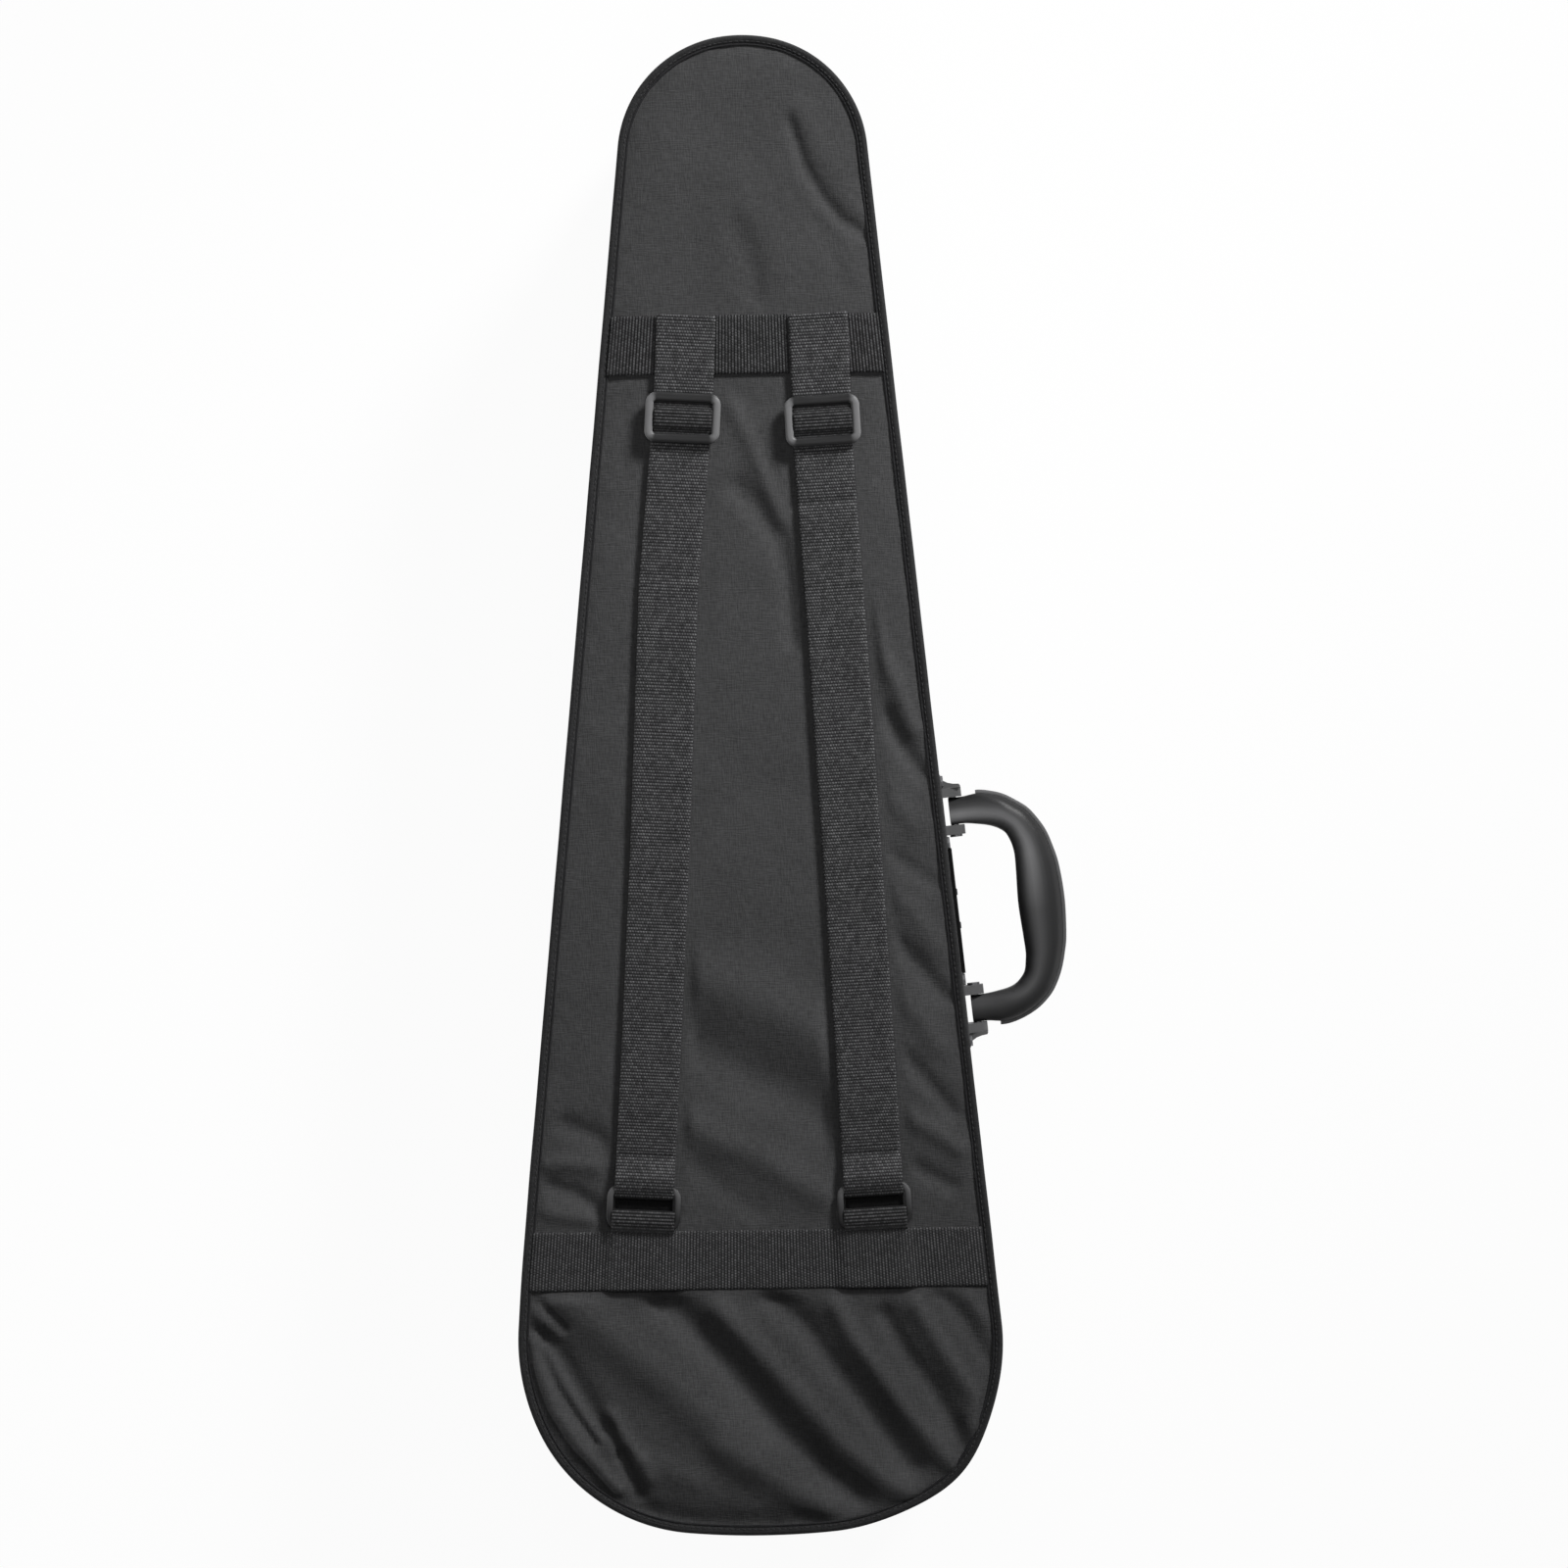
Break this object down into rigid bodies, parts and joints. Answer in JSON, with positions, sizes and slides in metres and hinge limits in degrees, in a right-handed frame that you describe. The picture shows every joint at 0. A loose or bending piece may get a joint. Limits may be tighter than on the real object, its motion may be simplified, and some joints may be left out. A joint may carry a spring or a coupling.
{
  "type": "violin case",
  "caption": "Oblong tapered soft-covered violin case with zip, side handle, backpack straps on the back and a padded fitted interior.",
  "frame": {"origin": "middle of the outline on the outer face of the lid, which the closed case lies on", "axes": "+Z from the lid up to the back that carries the straps; +Y towards the narrow head end; +X towards the side with the carrying handle, so the cloth hinge is on the -X side"},
  "size_m": [0.2928, 0.7868, 0.1378],
  "materials": {
    "canvas": "matte",
    "piping": "matte",
    "zip_tape": "matte",
    "zip_coil": "satin",
    "hinge_cloth": "matte",
    "foam_core": "matte",
    "plush": "matte",
    "webbing": "matte",
    "buckle_plastic": "satin",
    "handle_plastic": "satin",
    "handle_grip": "matte",
    "zip_metal": "satin",
    "fixings": "satin",
    "clip_plastic": "satin",
    "hook_and_loop": "matte"
  },
  "bodies": {
    "lid": {"lid_front_canvas": "canvas", "lid_piping": "piping", "lid_side_canvas": "canvas", "lid_zip_tape": "zip_tape", "lid_zip_teeth": "zip_coil", "lid_hinge_cloth": "hinge_cloth", "lid_lining": "plush", "lid_core": "foam_core", "bow_clip_block_left": "clip_plastic", "bow_clip_block_right": "clip_plastic", "bow_clip_pins": "fixings", "bow_tip_pocket": "plush"},
    "base": {"base_back_canvas": "canvas", "base_piping": "piping", "base_side_canvas": "canvas", "base_zip_tape": "zip_tape", "base_zip_teeth": "zip_coil", "base_hinge_cloth": "hinge_cloth", "base_lining": "plush", "base_core": "foam_core", "handle_bracket_head": "handle_plastic", "handle_bracket_tail": "handle_plastic", "handle_pins": "fixings", "bracket_rivets": "fixings", "bracket_backing_plates": "fixings", "upper_band": "webbing", "lower_band": "webbing", "strap_left": "webbing", "strap_left_underlayer": "webbing", "ring_left": "buckle_plastic", "ring_anchor_left": "webbing", "strap_right": "webbing", "strap_right_underlayer": "webbing", "ring_right": "buckle_plastic", "ring_anchor_right": "webbing", "violin_bed": "plush", "neck_cradle": "plush", "neck_strap_loop": "hook_and_loop", "neck_strap_hook": "hook_and_loop", "accessory_partition": "plush", "head_block": "plush", "accessory_hinge_fixed": "plush"},
    "handle": {"handle_core": "handle_plastic", "handle_grip_upper": "handle_grip", "handle_grip_lower": "handle_grip"},
    "zip_slider_head": {"zip_slider_head": "zip_metal"},
    "zip_slider_tail": {"zip_slider_tail": "zip_metal"},
    "zip_pull_head": {"zip_pull_head": "zip_metal"},
    "zip_pull_tail": {"zip_pull_tail": "zip_metal"},
    "strap_adjuster_left": {"adjuster_left": "buckle_plastic", "adjuster_wrap_left": "webbing"},
    "strap_adjuster_right": {"adjuster_right": "buckle_plastic", "adjuster_wrap_right": "webbing"},
    "accessory_lid": {"accessory_lid": "plush", "accessory_hinge_moving": "plush", "accessory_lid_tab": "hook_and_loop"},
    "bow_lever_left": {"bow_clip_lever_left": "clip_plastic"},
    "bow_lever_right": {"bow_clip_lever_right": "clip_plastic"}
  },
  "joints": [
    {"name": "case_hinge", "type": "hinge", "parent": "lid", "child": "base", "pos_m": [-0.09683, 0.00967, 0.058], "axis": [-0.0994, -0.995, 0], "range_deg": [0, 110]},
    {"name": "handle_hinge", "type": "hinge", "parent": "base", "child": "handle", "pos_m": [0.11229, -0.06768, 0.094], "axis": [0.0994, -0.995, 0], "range_deg": [-75, 75]},
    {"name": "zip_slide_head", "type": "slide", "parent": "base", "child": "zip_slider_head", "axis": [-0.0994, 0.995, 0], "range_m": [0, 0.37]},
    {"name": "zip_slide_tail", "type": "slide", "parent": "base", "child": "zip_slider_tail", "axis": [0.0994, -0.995, 0], "range_m": [0, 0.19]},
    {"name": "zip_pull_hinge_head", "type": "hinge", "parent": "zip_slider_head", "child": "zip_pull_head", "pos_m": [0.10791, -0.05907, 0.058], "axis": [0, 0, -1], "range_deg": [0, 100]},
    {"name": "zip_pull_hinge_tail", "type": "hinge", "parent": "zip_slider_tail", "child": "zip_pull_tail", "pos_m": [0.1097, -0.07698, 0.058], "axis": [0, 0, 1], "range_deg": [0, 100]},
    {"name": "strap_slide_left", "type": "slide", "parent": "base", "child": "strap_adjuster_left", "axis": [-0.0593, -0.9982, 0], "range_m": [0, 0.3]},
    {"name": "strap_slide_right", "type": "slide", "parent": "base", "child": "strap_adjuster_right", "axis": [0.0506, -0.9987, 0], "range_m": [0, 0.3]},
    {"name": "accessory_lid_hinge", "type": "hinge", "parent": "base", "child": "accessory_lid", "pos_m": [0, 0.308, 0.0756], "axis": [1, 0, 0], "range_deg": [0, 90]},
    {"name": "bow_lever_hinge_left", "type": "hinge", "parent": "lid", "child": "bow_lever_left", "pos_m": [-0.0595, -0.28, 0.03], "axis": [0, 0, 1], "range_deg": [0, 90]},
    {"name": "bow_lever_hinge_right", "type": "hinge", "parent": "lid", "child": "bow_lever_right", "pos_m": [0.0595, -0.28, 0.03], "axis": [0, 0, -1], "range_deg": [0, 90]}
  ]
}
